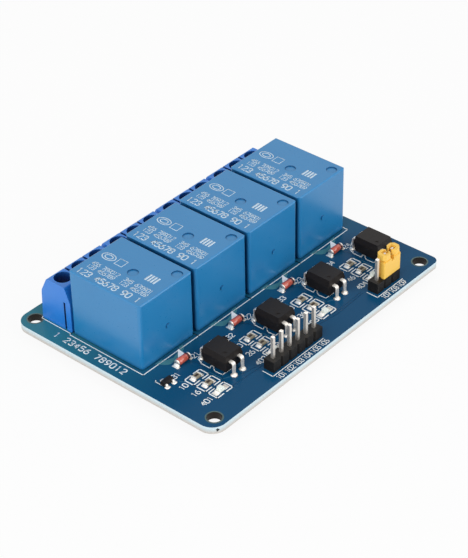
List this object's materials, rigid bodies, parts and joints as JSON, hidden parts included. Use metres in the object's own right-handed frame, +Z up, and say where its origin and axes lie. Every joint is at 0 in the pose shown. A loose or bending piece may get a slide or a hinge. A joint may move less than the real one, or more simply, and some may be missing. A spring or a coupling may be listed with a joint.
{
  "type": "relay module board",
  "caption": "Blue circuit board with a row of sealed power relays, screw terminal blocks behind them, optocoupled inputs, pin headers and a supply jumper in front.",
  "frame": {"origin": "middle of the board in plan, on the surface that the lead ends stand on", "axes": "+X along the board's long side, +Y from the header edge to the terminal edge, +Z up from the board to the relays"},
  "size_m": [0.0724, 0.0542, 0.0193],
  "materials": {
    "board_laminate": "glossy solder mask over glass laminate",
    "relay_cover": "moulded, satin gloss",
    "relay_base": "moulded, potted",
    "bobbin": "moulded",
    "winding_wire": "enamelled copper wire",
    "yoke_iron": "plated soft iron",
    "contact_metal": "spring bronze",
    "terminal_housing": "moulded, glossy",
    "clamp_metal": "nickel plated steel",
    "black_moulding": "moulded, fine matt",
    "tinned_metal": "tin plated",
    "solder": "bright solder",
    "jumper_shell": "moulded, satin",
    "diode_glass": "glass body, tinned caps",
    "chip_ceramic": "ceramic with tinned ends",
    "lamp_lens": "clear resin"
  },
  "bodies": {
    "board": {"circuit_board": "board_laminate", "relay_cover_1": "relay_cover", "relay_cover_2": "relay_cover", "relay_cover_3": "relay_cover", "relay_cover_4": "relay_cover", "relay_bases": "relay_base", "relay_bobbins": "bobbin", "relay_windings": "winding_wire", "relay_yokes": "yoke_iron", "relay_contacts": "tinned_metal", "terminal_housing_1": "terminal_housing", "terminal_housing_2": "terminal_housing", "terminal_housing_3": "terminal_housing", "terminal_housing_4": "terminal_housing", "terminal_cages": "clamp_metal", "input_header_body": "black_moulding", "input_header_pins": "tinned_metal", "power_header_body": "black_moulding", "power_header_pins": "tinned_metal", "optocoupler_1": "black_moulding", "optocoupler_2": "black_moulding", "optocoupler_3": "black_moulding", "optocoupler_4": "black_moulding", "optocoupler_leads": "tinned_metal", "diodes": "diode_glass", "transistors": "black_moulding", "resistors": "chip_ceramic", "lamps": "lamp_lens", "solder_joints": "solder"},
    "clamp_leaf_1": {"terminal_leaf_1": "clamp_metal"},
    "clamp_screw_1": {"terminal_screw_1": "clamp_metal"},
    "clamp_leaf_2": {"terminal_leaf_2": "clamp_metal"},
    "clamp_screw_2": {"terminal_screw_2": "clamp_metal"},
    "clamp_leaf_3": {"terminal_leaf_3": "clamp_metal"},
    "clamp_screw_3": {"terminal_screw_3": "clamp_metal"},
    "clamp_leaf_4": {"terminal_leaf_4": "clamp_metal"},
    "clamp_screw_4": {"terminal_screw_4": "clamp_metal"},
    "clamp_leaf_5": {"terminal_leaf_5": "clamp_metal"},
    "clamp_screw_5": {"terminal_screw_5": "clamp_metal"},
    "clamp_leaf_6": {"terminal_leaf_6": "clamp_metal"},
    "clamp_screw_6": {"terminal_screw_6": "clamp_metal"},
    "clamp_leaf_7": {"terminal_leaf_7": "clamp_metal"},
    "clamp_screw_7": {"terminal_screw_7": "clamp_metal"},
    "clamp_leaf_8": {"terminal_leaf_8": "clamp_metal"},
    "clamp_screw_8": {"terminal_screw_8": "clamp_metal"},
    "clamp_leaf_9": {"terminal_leaf_9": "clamp_metal"},
    "clamp_screw_9": {"terminal_screw_9": "clamp_metal"},
    "clamp_leaf_10": {"terminal_leaf_10": "clamp_metal"},
    "clamp_screw_10": {"terminal_screw_10": "clamp_metal"},
    "clamp_leaf_11": {"terminal_leaf_11": "clamp_metal"},
    "clamp_screw_11": {"terminal_screw_11": "clamp_metal"},
    "clamp_leaf_12": {"terminal_leaf_12": "clamp_metal"},
    "clamp_screw_12": {"terminal_screw_12": "clamp_metal"},
    "armature_1": {"relay_armature_1": "contact_metal"},
    "armature_2": {"relay_armature_2": "contact_metal"},
    "armature_3": {"relay_armature_3": "contact_metal"},
    "armature_4": {"relay_armature_4": "contact_metal"},
    "jumper": {"jumper_shell": "jumper_shell", "jumper_contact": "contact_metal"}
  },
  "joints": [
    {"name": "leaf_slide_1", "type": "slide", "parent": "board", "child": "clamp_leaf_1", "axis": [0, 0, 1], "range_m": [0, 0.0025]},
    {"name": "screw_turn_1", "type": "hinge", "parent": "clamp_leaf_1", "child": "clamp_screw_1", "pos_m": [-0.02896, 0.01935, 0.0092], "axis": [0, 0, 1], "range_deg": [0, 1800]},
    {"name": "leaf_slide_2", "type": "slide", "parent": "board", "child": "clamp_leaf_2", "axis": [0, 0, 1], "range_m": [0, 0.0025]},
    {"name": "screw_turn_2", "type": "hinge", "parent": "clamp_leaf_2", "child": "clamp_screw_2", "pos_m": [-0.02388, 0.01935, 0.0092], "axis": [0, 0, 1], "range_deg": [0, 1800]},
    {"name": "leaf_slide_3", "type": "slide", "parent": "board", "child": "clamp_leaf_3", "axis": [0, 0, 1], "range_m": [0, 0.0025]},
    {"name": "screw_turn_3", "type": "hinge", "parent": "clamp_leaf_3", "child": "clamp_screw_3", "pos_m": [-0.01879, 0.01935, 0.0092], "axis": [0, 0, 1], "range_deg": [0, 1800]},
    {"name": "leaf_slide_4", "type": "slide", "parent": "board", "child": "clamp_leaf_4", "axis": [0, 0, 1], "range_m": [0, 0.0025]},
    {"name": "screw_turn_4", "type": "hinge", "parent": "clamp_leaf_4", "child": "clamp_screw_4", "pos_m": [-0.0127, 0.01935, 0.0092], "axis": [0, 0, 1], "range_deg": [0, 1800]},
    {"name": "leaf_slide_5", "type": "slide", "parent": "board", "child": "clamp_leaf_5", "axis": [0, 0, 1], "range_m": [0, 0.0025]},
    {"name": "screw_turn_5", "type": "hinge", "parent": "clamp_leaf_5", "child": "clamp_screw_5", "pos_m": [-0.00762, 0.01935, 0.0092], "axis": [0, 0, 1], "range_deg": [0, 1800]},
    {"name": "leaf_slide_6", "type": "slide", "parent": "board", "child": "clamp_leaf_6", "axis": [0, 0, 1], "range_m": [0, 0.0025]},
    {"name": "screw_turn_6", "type": "hinge", "parent": "clamp_leaf_6", "child": "clamp_screw_6", "pos_m": [-0.00254, 0.01935, 0.0092], "axis": [0, 0, 1], "range_deg": [0, 1800]},
    {"name": "leaf_slide_7", "type": "slide", "parent": "board", "child": "clamp_leaf_7", "axis": [0, 0, 1], "range_m": [0, 0.0025]},
    {"name": "screw_turn_7", "type": "hinge", "parent": "clamp_leaf_7", "child": "clamp_screw_7", "pos_m": [0.00354, 0.01935, 0.0092], "axis": [0, 0, 1], "range_deg": [0, 1800]},
    {"name": "leaf_slide_8", "type": "slide", "parent": "board", "child": "clamp_leaf_8", "axis": [0, 0, 1], "range_m": [0, 0.0025]},
    {"name": "screw_turn_8", "type": "hinge", "parent": "clamp_leaf_8", "child": "clamp_screw_8", "pos_m": [0.00863, 0.01935, 0.0092], "axis": [0, 0, 1], "range_deg": [0, 1800]},
    {"name": "leaf_slide_9", "type": "slide", "parent": "board", "child": "clamp_leaf_9", "axis": [0, 0, 1], "range_m": [0, 0.0025]},
    {"name": "screw_turn_9", "type": "hinge", "parent": "clamp_leaf_9", "child": "clamp_screw_9", "pos_m": [0.01371, 0.01935, 0.0092], "axis": [0, 0, 1], "range_deg": [0, 1800]},
    {"name": "leaf_slide_10", "type": "slide", "parent": "board", "child": "clamp_leaf_10", "axis": [0, 0, 1], "range_m": [0, 0.0025]},
    {"name": "screw_turn_10", "type": "hinge", "parent": "clamp_leaf_10", "child": "clamp_screw_10", "pos_m": [0.0198, 0.01935, 0.0092], "axis": [0, 0, 1], "range_deg": [0, 1800]},
    {"name": "leaf_slide_11", "type": "slide", "parent": "board", "child": "clamp_leaf_11", "axis": [0, 0, 1], "range_m": [0, 0.0025]},
    {"name": "screw_turn_11", "type": "hinge", "parent": "clamp_leaf_11", "child": "clamp_screw_11", "pos_m": [0.02488, 0.01935, 0.0092], "axis": [0, 0, 1], "range_deg": [0, 1800]},
    {"name": "leaf_slide_12", "type": "slide", "parent": "board", "child": "clamp_leaf_12", "axis": [0, 0, 1], "range_m": [0, 0.0025]},
    {"name": "screw_turn_12", "type": "hinge", "parent": "clamp_leaf_12", "child": "clamp_screw_12", "pos_m": [0.02995, 0.01935, 0.0092], "axis": [0, 0, 1], "range_deg": [0, 1800]},
    {"name": "armature_swing_1", "type": "hinge", "parent": "board", "child": "armature_1", "pos_m": [-0.02388, -0.0016, 0.0153], "axis": [-1, 0, 0], "range_deg": [0, 4], "stiffness_Nm_per_rad": 0.01, "springref_deg": -8.59},
    {"name": "armature_swing_2", "type": "hinge", "parent": "board", "child": "armature_2", "pos_m": [-0.00762, -0.0016, 0.0153], "axis": [-1, 0, 0], "range_deg": [0, 4], "stiffness_Nm_per_rad": 0.01, "springref_deg": -8.59},
    {"name": "armature_swing_3", "type": "hinge", "parent": "board", "child": "armature_3", "pos_m": [0.00863, -0.0016, 0.0153], "axis": [-1, 0, 0], "range_deg": [0, 4], "stiffness_Nm_per_rad": 0.01, "springref_deg": -8.59},
    {"name": "armature_swing_4", "type": "hinge", "parent": "board", "child": "armature_4", "pos_m": [0.02488, -0.0016, 0.0153], "axis": [-1, 0, 0], "range_deg": [0, 4], "stiffness_Nm_per_rad": 0.01, "springref_deg": -8.59},
    {"name": "jumper_pull", "type": "slide", "parent": "board", "child": "jumper", "axis": [0, 0, 1], "range_m": [0, 0.006]}
  ],
  "couplings": [
    {"joint": "screw_turn_1", "follows": "leaf_slide_1", "rad_per_m": 12566},
    {"joint": "screw_turn_2", "follows": "leaf_slide_2", "rad_per_m": 12566},
    {"joint": "screw_turn_3", "follows": "leaf_slide_3", "rad_per_m": 12566},
    {"joint": "screw_turn_4", "follows": "leaf_slide_4", "rad_per_m": 12566},
    {"joint": "screw_turn_5", "follows": "leaf_slide_5", "rad_per_m": 12566},
    {"joint": "screw_turn_6", "follows": "leaf_slide_6", "rad_per_m": 12566},
    {"joint": "screw_turn_7", "follows": "leaf_slide_7", "rad_per_m": 12566},
    {"joint": "screw_turn_8", "follows": "leaf_slide_8", "rad_per_m": 12566},
    {"joint": "screw_turn_9", "follows": "leaf_slide_9", "rad_per_m": 12566},
    {"joint": "screw_turn_10", "follows": "leaf_slide_10", "rad_per_m": 12566},
    {"joint": "screw_turn_11", "follows": "leaf_slide_11", "rad_per_m": 12566},
    {"joint": "screw_turn_12", "follows": "leaf_slide_12", "rad_per_m": 12566}
  ]
}
